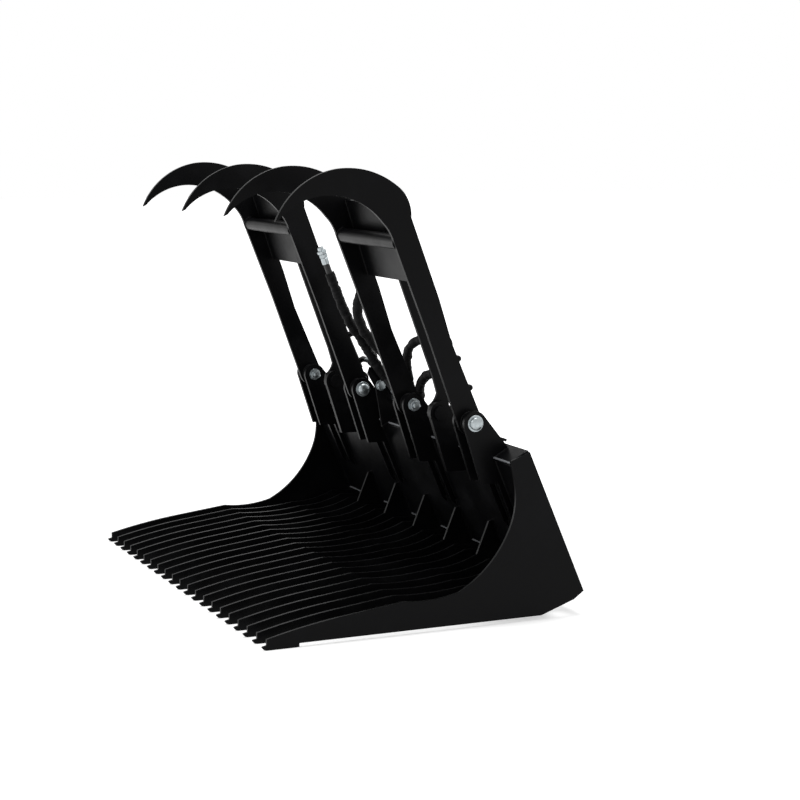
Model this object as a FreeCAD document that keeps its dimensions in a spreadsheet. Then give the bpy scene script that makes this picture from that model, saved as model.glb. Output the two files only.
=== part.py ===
import FreeCAD, Part
import math
import os

# Skid-steer skeleton grapple bucket.
# A row of upright steel tines between two side plates makes the bucket. Two
# grapple arms, each with two hooked claws, are pinned above its back and each
# is closed by its own hydraulic cylinder.
# X runs across the bucket, -Y to the tine tips, +Z up. Millimetres.

doc = FreeCAD.newDocument("grapple_bucket")

# Driving dimensions

SIZES = [
    # bucket
    ("tine_gap", 76.2),
    ("tine_count", 19),
    ("tine_thick", 9.5),
    ("side_thick", 9.5),
    ("origin_from_tip", 561.8),
    ("foot_height", 12.0),
    ("foot_length", 105.0),
    ("foot_lead", 14.0),
    ("tip_height", 34.0),
    ("crest_reach", 455.0),
    ("crest_height", 106.0),
    ("belly_reach", 640.0),
    ("belly_height", 117.0),
    ("side_front_reach", 822.0),
    ("side_front_height", 521.0),
    ("side_rear_reach", 887.0),
    ("side_rear_height", 545.0),
    ("heel_reach", 1087.0),
    ("heel_height", 79.0),
    ("sole_reach", 934.0),
    # back
    ("back_thick", 8.0),
    ("top_plate_run", 61.0),
    ("top_plate_fall", 40.0),
    ("back_foot_height", 141.0),
    ("top_thick", 9.5),
    ("rib_height", 262.0),
    ("rib_foot_reach", 872.0),
    ("rib_foot_height", 149.0),
    ("cross_bar_high", 120.0),
    ("cross_bar_thick", 12.7),
    # quick attach
    ("attach_wide", 1143.0),
    ("attach_thick", 9.5),
    ("attach_high", 440.0),
    ("attach_pad_wide", 300.0),
    ("hook_depth", 45.0),
    ("hook_drop", 34.0),
    ("ledge_depth", 68.6),
    ("lock_slot_wide", 60.0),
    ("lock_slot_deep", 28.0),
    ("lock_slot_inset", 163.0),
    # hinge line
    ("hinge_inset", 133.0),
    ("hinge_rise", 83.0),
    ("pin_dia", 31.75),
    ("fit_gap", 0.05),
    ("ear_radius", 39.0),
    ("ear_thick", 12.7),
    ("ear_spread", 75.0),
    ("ear_foot_height", 430.0),
    ("ear_tail_depth", 22.0),
    ("centre_ear_thick", 19.0),
    ("hub_dia", 64.0),
    ("hub_play", 1.0),
    ("head_dia", 50.0),
    ("head_high", 17.0),
    ("nut_dia", 42.0),
    ("washer_dia", 60.0),
    ("washer_thick", 5.0),
    # grapple arms
    ("claw_thick", 12.7),
    ("claw_inner_x", 223.0),
    ("claw_outer_x", 696.0),
    ("claw_rise", 806.0),
    ("claw_hub_dia", 84.0),
    ("arm_tube_dia", 48.3),
    ("arm_tube_wall", 5.0),
    ("arm_tube_clear", 17.5628),
    ("arm_tube_rise", 578.0),
    ("arm_plate_thick", 9.5),
    ("lever_thick", 12.7),
    ("lever_boss", 33.0),
    ("lever_eye", 36.0),
    # cylinder
    ("base_pin_inset", 17.0),
    ("base_pin_rise", 80.0),
    ("lug_radius", 30.0),
    ("rod_pin_back", 18.0),
    ("rod_pin_rise", 222.0),
    ("barrel_dia", 70.0),
    ("bore_dia", 57.0),
    ("barrel_base", 34.0),
    ("barrel_end_wall", 10.0),
    ("rod_shown", 38.4),
    ("gland_long", 28.0),
    ("rod_dia", 31.75),
    ("piston_long", 20.0),
    ("cyl_eye_dia", 50.0),
    ("cyl_pin_dia", 25.4),
    ("rod_eye_play", 14.5),
    ("lug_thick", 12.7),
    ("lug_gap", 52.0),
    ("cyl_offset", 46.0),
    ("port_dia", 22.0),
    ("port_back", 50.0),
    ("port_side", 37.0),
    ("port_low", 56.0),
    ("port_drop", 42.0),
    # hydraulic lines
    ("hose_dia", 16.0),
    ("feed_dia", 22.0),
    ("tee_block", 30.0),
    ("stem_dia", 18.0),
    ("feed_stem", 28.0),
    ("bracket_x", -100.0),
    ("bracket_thick", 8.0),
    ("bracket_bolt_dia", 16.0),
    ("coupler_dia", 27.0),
    ("coupler_long", 63.0),
]

sheet = doc.addObject("Spreadsheet::Sheet", "Sizes")
for row, (alias, number) in enumerate(SIZES, start=1):
    sheet.set("A%d" % row, alias)
    sheet.set("B%d" % row, str(number))
    sheet.setAlias("B%d" % row, alias)
doc.recompute()


def size(alias):
    """Value of one named dimension."""
    return float(sheet.get(alias))


# Points in the side view are given as reach from the tine tips and height.

def spot(reach, height):
    """Sketch point from a reach behind the tips and a height."""
    return FreeCAD.Vector(reach - size("origin_from_tip"), height, 0)


def line(a, b):
    """Straight edge."""
    return Part.LineSegment(a, b)


def arc(a, mid, b):
    """Round edge through three points."""
    return Part.Arc(a, mid, b)


def open_sketch(body, role, name):
    """New sketch on one of the body's own origin planes."""
    sketch = body.newObject("Sketcher::SketchObject", name)
    plane = [f for f in body.Origin.OriginFeatures if f.Role == role][0]
    sketch.AttachmentSupport = [(plane, "")]
    sketch.MapMode = "FlatFace"
    return sketch


def outline(points):
    """Edges through a list of points; a tuple marks the middle of an arc."""
    edges = []
    first = points[0]
    current = first
    middle = None
    for item in points[1:] + [first]:
        if isinstance(item, tuple):
            middle = item[0]
            continue
        if middle is None:
            edges.append(line(current, item))
        else:
            edges.append(arc(current, middle, item))
        current = item
        middle = None
    return edges


def plate(name, edges, thickness, x_centre):
    """Flat plate cut to a side-view outline, padded across X about x_centre."""
    body = doc.addObject("PartDesign::Body", name)
    body.Label = name
    sketch = open_sketch(body, "YZ_Plane", name + "_outline")
    for edge in edges:
        sketch.addGeometry(edge, False)
    pad = body.newObject("PartDesign::Pad", name + "_pad")
    pad.Profile = sketch
    pad.setExpression("Length", "Sizes." + thickness)
    body.Tip = pad
    shift = x_centre - size(thickness) / 2.0
    body.Placement = FreeCAD.Placement(FreeCAD.Vector(shift, 0, 0), FreeCAD.Rotation())
    return body


def solid_node(name, shape, placement=None):
    """Piece whose form is computed from the named sizes."""
    piece = doc.addObject("Part::Feature", name)
    piece.Label = name
    piece.Shape = shape
    if placement is not None:
        piece.Placement = placement
    return piece


def rod_x(radius, x_low, x_high, reach, height):
    """Solid cylinder along X."""
    base = FreeCAD.Vector(x_low, reach - size("origin_from_tip"), height)
    return Part.makeCylinder(radius, x_high - x_low, base, FreeCAD.Vector(1, 0, 0))


# Sizes that follow from the ones above

PITCH = size("tine_gap") + size("tine_thick")
SIDE_X = PITCH * (size("tine_count") + 1) / 2.0
INNER_X = SIDE_X - size("side_thick") / 2.0
PIN_R = size("pin_dia") / 2.0

# The back plate runs parallel to the rear edge of the side plates.
REAR_TOP = (size("side_rear_reach"), size("side_rear_height"))
LIP = (REAR_TOP[0] - size("top_plate_run"), REAR_TOP[1] - size("top_plate_fall"))
HINGE = (REAR_TOP[0] - size("hinge_inset"), REAR_TOP[1] + size("hinge_rise"))
REAR_LOW = (size("heel_reach"), size("heel_height"))
REAR_LONG = math.hypot(REAR_LOW[0] - REAR_TOP[0], REAR_LOW[1] - REAR_TOP[1])
DOWN = ((REAR_LOW[0] - REAR_TOP[0]) / REAR_LONG, (REAR_LOW[1] - REAR_TOP[1]) / REAR_LONG)
BACK = (-DOWN[1], DOWN[0])
LEAN = math.degrees(math.atan2(DOWN[0], -DOWN[1]))


def back_face(height):
    """Reach of the back plate's front face at a height."""
    return LIP[0] + (LIP[1] - height) * DOWN[0] / -DOWN[1]


def rear_face(height):
    """Reach of the rear edge of the side plates at a height."""
    return REAR_TOP[0] + (REAR_TOP[1] - height) * DOWN[0] / -DOWN[1]


def along_back(start, down, out):
    """Point measured down the rear plane and out behind it."""
    return (start[0] + DOWN[0] * down + BACK[0] * out, start[1] + DOWN[1] * down + BACK[1] * out)


# Side plates

def floor_edge():
    """Tip, wear foot and knife-shaped top edge shared by every tine."""
    foot = size("foot_height")
    tip = size("tip_height")
    return [
        spot(0, tip),
        (spot(118, tip + 26),),
        spot(236, tip + 45),
        spot(size("crest_reach"), size("crest_height")),
    ], [
        spot(size("foot_length"), foot),
        spot(size("foot_length"), 0),
        spot(0, 0),
        spot(-size("foot_lead") * 0.6, foot * 0.2),
        spot(-size("foot_lead"), foot * 0.7),
        spot(-size("foot_lead"), foot),
        spot(0, foot + 3),
    ]


def side_outline():
    top, foot = floor_edge()
    front = size("side_front_reach")
    middle = [
        (spot(552, size("crest_height") - 4),),
        spot(size("belly_reach"), size("belly_height")),
        (spot(765, 216),),
        spot(825, 321),
        (spot(838, 385),),
        spot(834, 450),
        spot(front, size("side_front_height")),
        spot(REAR_TOP[0], REAR_TOP[1]),
        spot(REAR_LOW[0], REAR_LOW[1]),
        spot(REAR_LOW[0] - 35, REAR_LOW[1] - 25),
        spot(size("sole_reach"), size("foot_height") + 1),
    ]
    return outline(top + middle + foot)


plate("side_plate_right", side_outline(), "side_thick", SIDE_X)
plate("side_plate_left", side_outline(), "side_thick", -SIDE_X)

# Tines: every third one of the middle rows rises as a rib against the back plate.


def tine_outline(is_rib):
    top, foot = floor_edge()
    bar = size("cross_bar_thick") / BACK[0]
    rib = [
        (spot(552, size("crest_height") - 4),),
        spot(size("belly_reach") + 60, size("belly_height") - 3),
        (spot(800, 124),),
        spot(size("rib_foot_reach"), size("rib_foot_height")),
    ]
    if is_rib:
        top_of_rib = size("rib_height")
        rib += [
            spot(back_face(top_of_rib) - 14, top_of_rib - 4),
            spot(back_face(top_of_rib), top_of_rib),
        ]
    rib += [
        spot(back_face(size("back_foot_height")), size("back_foot_height")),
        spot(rear_face(size("back_foot_height")) - bar, size("back_foot_height")),
        spot(*along_back(REAR_LOW, 0, -size("cross_bar_thick"))),
        spot(REAR_LOW[0] - 35, REAR_LOW[1] - 25),
        spot(size("sole_reach"), size("foot_height") + 1),
    ]
    return outline(top + rib + foot)


count = int(size("tine_count"))
for number in range(1, count + 1):
    from_middle = number - (count + 1) // 2
    is_rib = from_middle % 3 == 0 and abs(from_middle) <= 6
    plate("tine_%02d" % number, tine_outline(is_rib), "tine_thick", from_middle * PITCH)

# Back plate, sloping top plate and lower rear cross bar between the side plates


def cross_member(name, corners):
    """Member of constant section between the side plates, padded across X."""
    body = doc.addObject("PartDesign::Body", name)
    body.Label = name
    sketch = open_sketch(body, "YZ_Plane", name + "_section")
    for edge in outline([spot(*c) for c in corners]):
        sketch.addGeometry(edge, False)
    pad = body.newObject("PartDesign::Pad", name + "_pad")
    pad.Profile = sketch
    pad.setExpression(
        "Length",
        "(Sizes.tine_gap + Sizes.tine_thick) * (Sizes.tine_count + 1) - Sizes.side_thick",
    )
    body.Tip = pad
    body.Placement = FreeCAD.Placement(FreeCAD.Vector(-INNER_X, 0, 0), FreeCAD.Rotation())
    return body


def cross_point(p, u, q, v):
    """Where the line through p along u meets the line through q along v."""
    det = u[0] * -v[1] + u[1] * v[0]
    t = ((q[0] - p[0]) * -v[1] + (q[1] - p[1]) * v[0]) / det
    return (p[0] + u[0] * t, p[1] + u[1] * t)


# The sloping top plate lies on the back plate's top edge.
BACK_LONG = (LIP[1] - size("back_foot_height")) / -DOWN[1]
UP = (REAR_TOP[0] - LIP[0], REAR_TOP[1] - size("top_thick") * 0.6 - LIP[1])
TOP_RUN = math.hypot(*UP)
UP = (UP[0] / TOP_RUN, UP[1] / TOP_RUN)
OVER = (-UP[1], UP[0])
LIP_TOP = (LIP[0] + OVER[0] * size("top_thick"), LIP[1] + OVER[1] * size("top_thick"))
TOP_SECTION = [
    LIP,
    cross_point(LIP, UP, REAR_TOP, DOWN),
    cross_point(LIP_TOP, UP, REAR_TOP, DOWN),
    LIP_TOP,
]
cross_member("top_plate", TOP_SECTION)
BEHIND = along_back(LIP, 0, size("back_thick"))
cross_member("back_plate", [
    LIP,
    along_back(LIP, BACK_LONG, 0),
    along_back(LIP, BACK_LONG, size("back_thick")),
    cross_point(BEHIND, DOWN, LIP, UP),
])
# Both cross bars lie inside the rear plane, the upper one under the top plate.
BAR_TOP = (rear_face(size("back_foot_height")), size("back_foot_height"))
BAR = size("cross_bar_thick")
cross_member("lower_cross_bar", [
    BAR_TOP,
    REAR_LOW,
    along_back(REAR_LOW, 0, -BAR),
    (BAR_TOP[0] - BAR / BACK[0], BAR_TOP[1]),
])
UNDER = cross_point(LIP, UP, REAR_TOP, DOWN)
BAR_FRONT = along_back(REAR_TOP, 0, -BAR)
cross_member("upper_cross_bar", [
    UNDER,
    along_back(UNDER, size("cross_bar_high"), 0),
    along_back(UNDER, size("cross_bar_high"), -BAR),
    cross_point(BAR_FRONT, DOWN, LIP, UP),
])

# Quick-attach plate, hook lip and lock ledge, drawn flat and leaned to the rear plane.

ATTACH_TOP = along_back(REAR_TOP, 4.0, 0)


def leaned(name):
    """Body whose XZ sketches lie on the rear plane, Z up along it."""
    body = doc.addObject("PartDesign::Body", name)
    body.Label = name
    place = FreeCAD.Vector(0, ATTACH_TOP[0] - size("origin_from_tip"), ATTACH_TOP[1])
    body.Placement = FreeCAD.Placement(place, FreeCAD.Rotation(FreeCAD.Vector(1, 0, 0), LEAN))
    return body


def box_edges(x_low, x_high, y_low, y_high):
    """Closed rectangle for a sketch."""
    corners = [(x_low, y_low), (x_high, y_low), (x_high, y_high), (x_low, y_high)]
    points = [FreeCAD.Vector(x, y, 0) for x, y in corners]
    return [line(points[i], points[(i + 1) % 4]) for i in range(4)]


def padded(body, role, name, edges, alias, reverse=False):
    """Sketch on a plane of the body, padded by a named thickness."""
    sketch = open_sketch(body, role, name + "_sketch")
    for edge in edges:
        sketch.addGeometry(edge, False)
    pad = body.newObject("PartDesign::Pad", name)
    pad.Profile = sketch
    pad.setExpression("Length", "Sizes." + alias)
    pad.Reversed = reverse
    body.Tip = pad
    return pad


half = size("attach_wide") / 2.0
high = size("attach_high")
for label, inner in (("left", -half), ("right", half - size("attach_pad_wide"))):
    attach = leaned("attach_plate_" + label)
    face = box_edges(inner, inner + size("attach_pad_wide"), -high, 0)
    padded(attach, "XZ_Plane", "attach_face_" + label, face, "attach_thick", True)

# The hook lip stands on the plates and takes the top edge of the loader's coupler from below.
TH = size("attach_thick")


def leaned_bar(name, section, x_low, x_high):
    """Bar of constant section across the attach plate."""
    edges = [FreeCAD.Vector(x_low, y, z) for y, z in section]
    wire = Part.makePolygon(edges + [edges[0]])
    shape = Part.Face(wire).extrude(FreeCAD.Vector(x_high - x_low, 0, 0))
    place = FreeCAD.Vector(0, ATTACH_TOP[0] - size("origin_from_tip"), ATTACH_TOP[1])
    rest = FreeCAD.Placement(place, FreeCAD.Rotation(FreeCAD.Vector(1, 0, 0), LEAN))
    return solid_node(name, shape, rest)


leaned_bar("attach_hook", [
    (0.2, 0),
    (TH + 5, 0),
    (TH + size("hook_depth"), -size("hook_drop")),
    (TH + size("hook_depth") + TH * 0.6, TH * 0.8 - size("hook_drop")),
    (TH + 8, TH),
    (0.2, TH),
], -half, half)

ledge_shape = Part.makeBox(
    size("attach_wide"), size("ledge_depth") + TH, TH,
    FreeCAD.Vector(-half, 0, -high - TH),
)
for side in (-1, 1):
    slot_x = side * (size("attach_wide") - size("lock_slot_inset")) / 2.0
    slot = Part.makeBox(
        size("lock_slot_wide"), size("lock_slot_deep"), TH * 3,
        FreeCAD.Vector(slot_x - size("lock_slot_wide") / 2.0, TH + 14, -high - TH * 2),
    )
    ledge_shape = ledge_shape.cut(slot)
solid_node(
    "attach_ledge", ledge_shape,
    FreeCAD.Placement(
        FreeCAD.Vector(0, ATTACH_TOP[0] - size("origin_from_tip"), ATTACH_TOP[1]),
        FreeCAD.Rotation(FreeCAD.Vector(1, 0, 0), LEAN),
    ),
)

# Hinge ears


def unit(a, b):
    """Unit direction from a to b."""
    d = math.hypot(b[0] - a[0], b[1] - a[1])
    return ((b[0] - a[0]) / d, (b[1] - a[1]) / d)


def tangent(centre, radius, far, side):
    """Point where a straight edge from far touches a round end; side is 1 or -1."""
    d = math.hypot(far[0] - centre[0], far[1] - centre[1])
    base = math.atan2(far[1] - centre[1], far[0] - centre[0])
    turn = math.acos(radius / d) * side
    return (centre[0] + radius * math.cos(base + turn), centre[1] + radius * math.sin(base + turn))


def on_round(centre, radius, degrees):
    """Point on a round end."""
    a = math.radians(degrees)
    return spot(centre[0] + radius * math.cos(a), centre[1] + radius * math.sin(a))


def ear_outline(tail):
    """Ear that stands on the top plate; its tail runs down the back plate."""
    foot = size("ear_foot_height")
    front_foot = (HINGE[0] + 23.0, foot)
    rear_foot = cross_point(LIP_TOP, UP, (REAR_TOP[0] - 14.0, 0), (0.0, 1.0))
    t1 = tangent(HINGE, size("ear_radius"), front_foot, -1)
    t2 = tangent(HINGE, size("ear_radius"), rear_foot, 1)
    depth = size("ear_tail_depth")
    low = size("rib_height") + depth + 2.0
    if tail:
        end = [
            spot(back_face(foot) - depth, foot),
            spot(back_face(low) - depth, low),
            spot(back_face(low), low - depth),
        ]
    else:
        end = [spot(back_face(foot), foot)]
    return outline([spot(*front_foot)] + end + [
        spot(*LIP),
        spot(*LIP_TOP),
        spot(*rear_foot),
        spot(*t2),
        (on_round(HINGE, size("ear_radius"), 105),),
        spot(*t1),
    ])


def upright(edges, x, thickness):
    """Side-view outline standing at x and extruded across."""
    face = Part.Face(Part.Wire([e.toShape() for e in edges]))
    face.Placement = FreeCAD.Placement(
        FreeCAD.Vector(x, 0, 0),
        FreeCAD.Rotation(FreeCAD.Vector(0.5773503, 0.5773503, 0.5773503), 120),
    )
    return face.extrude(FreeCAD.Vector(thickness, 0, 0))


def ear(name, thickness, centres, tail):
    """One or more ears of one outline."""
    plates = []
    for centre in centres:
        body = upright(ear_outline(tail), centre - size(thickness) / 2.0, size(thickness))
        bore = rod_x(PIN_R + size("fit_gap"), centre - 60, centre + 60, *HINGE)
        plates.append(body.cut(bore))
    return solid_node(name, Part.makeCompound(plates))


HALF_SPREAD = size("ear_spread") / 2.0
CLAWS = [
    ("left_outer", -size("claw_outer_x")),
    ("left_inner", -size("claw_inner_x")),
    ("right_inner", size("claw_inner_x")),
    ("right_outer", size("claw_outer_x")),
]
LEVER_X = (size("claw_outer_x") + size("claw_inner_x")) / 2.0
for label, x in CLAWS:
    ear("hinge_ears_" + label, "ear_thick", [x - HALF_SPREAD, x + HALF_SPREAD], True)
CENTRE_EAR_SHIFT = size("lever_thick") / 2.0 + size("hub_play") + size("centre_ear_thick") / 2.0
ear("centre_ears", "centre_ear_thick", [x + CENTRE_EAR_SHIFT for x in (-LEVER_X, LEVER_X)], False)

# Hinge bolts with washers: heads on each arm's +X claw, nuts towards +X on the other

bolts = []
REACH_X = HALF_SPREAD + size("ear_thick") / 2.0
WASHER = size("washer_thick")
for label, x in CLAWS:
    turn = 1 if label in ("left_inner", "right_outer") else -1

    def across(radius, start, end):
        """Part of the bolt from start to end, measured towards its head."""
        low, high_end = sorted((x + turn * start, x + turn * end))
        return rod_x(radius, low, high_end, *HINGE)

    head_end = REACH_X + WASHER + size("head_high")
    head = across(size("head_dia") / 2.0, REACH_X + WASHER, head_end)
    tip = x + turn * head_end
    rim = [e for e in head.Edges if abs(e.BoundBox.XMin - tip) < 0.01 and abs(e.BoundBox.XMax - tip) < 0.01]
    head = head.makeFillet(6.0, rim)
    nut_at = x - turn * (REACH_X + WASHER)
    corners = []
    for i in range(7):
        a = math.radians(60 * i)
        flat = size("nut_dia") / 2.0
        corners.append(FreeCAD.Vector(
            nut_at,
            HINGE[0] - size("origin_from_tip") + flat * math.cos(a),
            HINGE[1] + flat * math.sin(a),
        ))
    nut = Part.Face(Part.makePolygon(corners)).extrude(FreeCAD.Vector(-20 * turn, 0, 0))
    bolts.append(across(PIN_R, -REACH_X - WASHER - 26, head_end - 8).fuse([
        across(size("washer_dia") / 2.0, REACH_X, REACH_X + WASHER),
        across(size("nut_dia") / 2.0 + 3, -REACH_X - WASHER, -REACH_X),
        head,
        nut,
    ]).removeSplitter())
solid_node("hinge_bolts", Part.makeCompound(bolts))

centre_pins = []
for x in (-LEVER_X, LEVER_X):
    outer = x + CENTRE_EAR_SHIFT + size("centre_ear_thick") / 2.0
    pin = rod_x(PIN_R, x - size("lever_thick") / 2.0, outer, *HINGE)
    cap = rod_x(size("head_dia") / 2.0, outer, outer + 8.0, *HINGE)
    centre_pins.append(pin.fuse(cap))
solid_node("centre_pins", Part.makeCompound(centre_pins))

# Cylinder lugs on the top plate

BASE = (REAR_TOP[0] - size("base_pin_inset"), REAR_TOP[1] + size("base_pin_rise"))
ROD_END = (HINGE[0] + size("rod_pin_back"), HINGE[1] + size("rod_pin_rise"))
CYL_R = size("cyl_pin_dia") / 2.0
LUG_R = size("lug_radius")


def lugs(x):
    """Pair of lugs on the top plate, each side of a cylinder's base eye."""
    foot_half = LUG_R - 8.0
    front = cross_point(LIP_TOP, UP, (BASE[0] - foot_half, 0), (0.0, 1.0))
    rear = cross_point(LIP_TOP, UP, (min(BASE[0] + foot_half, REAR_TOP[0] - 7.0), 0), (0.0, 1.0))
    t1 = tangent(BASE, LUG_R, front, -1)
    t2 = tangent(BASE, LUG_R, rear, 1)
    edges = outline([
        spot(*front), spot(*rear), spot(*t2),
        (on_round(BASE, LUG_R, 95),),
        spot(*t1),
    ])
    pair = []
    for low in (x - size("lug_gap") / 2.0 - size("lug_thick"), x + size("lug_gap") / 2.0):
        solid = upright(edges, low, size("lug_thick"))
        pair.append(solid.cut(rod_x(CYL_R + size("fit_gap"), x - 80, x + 80, *BASE)))
    return pair


CYLS = [("left", -LEVER_X - size("cyl_offset")), ("right", LEVER_X - size("cyl_offset"))]
base_pins = []
all_lugs = []
for label, x in CYLS:
    all_lugs += lugs(x)
    out = size("lug_gap") / 2.0 + size("lug_thick")
    pin = rod_x(CYL_R, x - out - 3, x + out + 3, *BASE)
    caps = [
        rod_x(19.0, x + out, x + out + 6, *BASE),
        rod_x(19.0, x - out - 3.4, x - out, *BASE),
    ]
    base_pins.append(pin.fuse(caps))
solid_node("cylinder_lugs", Part.makeCompound(all_lugs))
solid_node("cylinder_base_pins", Part.makeCompound(base_pins))

# Claws


CLAW_SHARE = size("claw_rise") / 806.0


def from_hinge(back, rise):
    """Point measured from the hinge, in shares of the claw's height."""
    return (HINGE[0] + back * CLAW_SHARE, HINGE[1] + rise * CLAW_SHARE)


def claw_outline():
    hub = size("claw_hub_dia") / 2.0
    front_far = from_hinge(-153, 296)
    rear_far = from_hinge(-65, 256)
    t1 = tangent(HINGE, hub, front_far, 1)
    t2 = tangent(HINGE, hub, rear_far, -1)
    return outline([
        spot(*from_hinge(-656, 648)),
        (spot(*from_hinge(-572, 756)),),
        spot(*from_hinge(-454, 806)),
        (spot(*from_hinge(-340, 797)),),
        spot(*from_hinge(-254, 753)),
        (spot(*from_hinge(-218, 712)),),
        spot(*from_hinge(-206, 654)),
        spot(*from_hinge(-110, 398)),
        spot(*rear_far),
        spot(*t2),
        (on_round(HINGE, hub, -75),),
        spot(*t1),
        spot(*front_far),
        spot(*from_hinge(-264, 577)),
        (spot(*from_hinge(-278, 610)),),
        spot(*from_hinge(-302, 640)),
        (spot(*from_hinge(-364, 694)),),
        spot(*from_hinge(-454, 723)),
        (spot(*from_hinge(-554, 713)),),
        spot(*from_hinge(-645, 653)),
    ])


def claw(name, x):
    solid = upright(claw_outline(), x - size("claw_thick") / 2.0, size("claw_thick"))
    hub_half = HALF_SPREAD - size("ear_thick") / 2.0 - size("hub_play")
    hub = rod_x(size("hub_dia") / 2.0, x - hub_half, x + hub_half, *HINGE)
    solid = solid.fuse(hub).cut(rod_x(PIN_R + size("fit_gap"), x - 90, x + 90, *HINGE))
    return solid_node(name, solid.removeSplitter())


for label, x in CLAWS:
    claw("claw_" + label, x)

PLATE_TOP = from_hinge(-224, 697)
PLATE_LOW = from_hinge(-142, 446)
PLATE_DIR = unit(PLATE_TOP, PLATE_LOW)
PLATE_FRONT = (PLATE_DIR[1], -PLATE_DIR[0])

# The cross tube stands clear of the plate's front face at its own height.
TUBE_AHEAD = size("arm_plate_thick") + size("arm_tube_clear") + size("arm_tube_dia") / 2.0
TUBE_PATH = (PLATE_TOP[0] + PLATE_FRONT[0] * TUBE_AHEAD, PLATE_TOP[1] + PLATE_FRONT[1] * TUBE_AHEAD)
TUBE = cross_point(TUBE_PATH, PLATE_DIR, from_hinge(0, size("arm_tube_rise")), (1.0, 0.0))


def lever_outline():
    eye = size("lever_eye")
    boss = size("lever_boss")
    top = (PLATE_LOW[0] - PLATE_DIR[0] * 98, PLATE_LOW[1] - PLATE_DIR[1] * 98)
    high = from_hinge(-94, 457)
    t = tangent(ROD_END, boss, high, -1)
    middle = (HINGE[1] + ROD_END[1]) / 2.0
    return outline([
        spot(HINGE[0] - eye, HINGE[1]),
        (spot(HINGE[0], HINGE[1] - eye),),
        spot(HINGE[0] + eye, HINGE[1]),
        spot(ROD_END[0] + boss, ROD_END[1]),
        (on_round(ROD_END, boss, 25),),
        spot(*t),
        spot(*high),
        spot(top[0] + 24, top[1] + 4),
        spot(*top),
        spot(*PLATE_LOW),
        spot(ROD_END[0] - 66, ROD_END[1] - 31),
        spot(HINGE[0] - 22, middle + 11),
        spot(HINGE[0] - 5, HINGE[1] + 64),
        (spot(HINGE[0] - 14, HINGE[1] + 42),),
        spot(HINGE[0] - 32, HINGE[1] + 24),
    ])


for label, sign in (("left", -1), ("right", 1)):
    low = size("claw_inner_x") if sign > 0 else -size("claw_outer_x")
    high_x = size("claw_outer_x") if sign > 0 else -size("claw_inner_x")
    low += size("claw_thick") / 2.0
    high_x -= size("claw_thick") / 2.0
    outer = rod_x(size("arm_tube_dia") / 2.0, low, high_x, *TUBE)
    inner = rod_x(size("arm_tube_dia") / 2.0 - size("arm_tube_wall"), low, high_x, *TUBE)
    solid_node("arm_tube_" + label, outer.cut(inner))
    t = size("arm_plate_thick")
    front_top = (PLATE_TOP[0] + PLATE_FRONT[0] * t, PLATE_TOP[1] + PLATE_FRONT[1] * t)
    front_low = (PLATE_LOW[0] + PLATE_FRONT[0] * t, PLATE_LOW[1] + PLATE_FRONT[1] * t)
    edges = outline([spot(*PLATE_TOP), spot(*front_top), spot(*front_low), spot(*PLATE_LOW)])
    solid_node("arm_plate_" + label, upright(edges, low, high_x - low))
    x = sign * LEVER_X
    blade = upright(lever_outline(), x - size("lever_thick") / 2.0, size("lever_thick"))
    blade = blade.cut(rod_x(PIN_R + size("fit_gap"), x - 40, x + 40, *HINGE))
    blade = blade.cut(rod_x(CYL_R, x - 40, x + 40, *ROD_END))
    solid_node("lever_" + label, blade)
    end = x - size("cyl_offset") - 42.0
    pin = rod_x(CYL_R, end, x + size("lever_thick") / 2.0, *ROD_END)
    head = rod_x(37.0, end - 2.0, end + 4.0, *ROD_END)
    nut = rod_x(20.0, x + size("lever_thick") / 2.0, x + size("lever_thick") / 2.0 + 12, *ROD_END)
    solid_node("rod_pin_" + label, pin.fuse([head, nut]))

# Cylinders: drawn upright on the base pin, then leaned to the rod pin.

CYL_LONG = math.hypot(ROD_END[0] - BASE[0], ROD_END[1] - BASE[1])
CYL_LEAN = math.degrees(math.atan2(BASE[0] - ROD_END[0], ROD_END[1] - BASE[1]))
BORE_R = size("bore_dia") / 2.0
ROD_R = size("rod_dia") / 2.0
EYE_HALF = size("lug_gap") / 2.0 - size("hub_play")
ORIGIN = FreeCAD.Vector(0, 0, 0)
UPWARD = FreeCAD.Vector(0, 0, 1)


def cross_eye(radius, bore, half_wide, level):
    """Tube across the cylinder axis that carries a pin."""
    start = FreeCAD.Vector(-half_wide, 0, level)
    outer = Part.makeCylinder(radius, 2 * half_wide, start, FreeCAD.Vector(1, 0, 0))
    inner = Part.makeCylinder(bore, 2 * half_wide, start, FreeCAD.Vector(1, 0, 0))
    return outer, inner


LOW = size("barrel_base")
TOP = CYL_LONG - size("rod_shown")
END_WALL = size("barrel_end_wall")
BARREL_R = size("barrel_dia") / 2.0
PORT_LEVELS = (size("port_low"), TOP - size("port_drop"))


def elbow(level, inward):
    """Port behind the barrel with a rigid elbow towards the middle of the bucket."""
    radius = size("port_dia") / 2.0
    start = FreeCAD.Vector(0, BARREL_R - 4, level)
    corner = FreeCAD.Vector(0, size("port_back"), level)
    riser = Part.makeCylinder(radius, size("port_back") - BARREL_R + 4, start, FreeCAD.Vector(0, 1, 0))
    outlet = Part.makeCylinder(radius, size("port_side"), corner, FreeCAD.Vector(inward, 0, 0))
    return [riser, Part.makeSphere(radius, corner), outlet]


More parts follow.
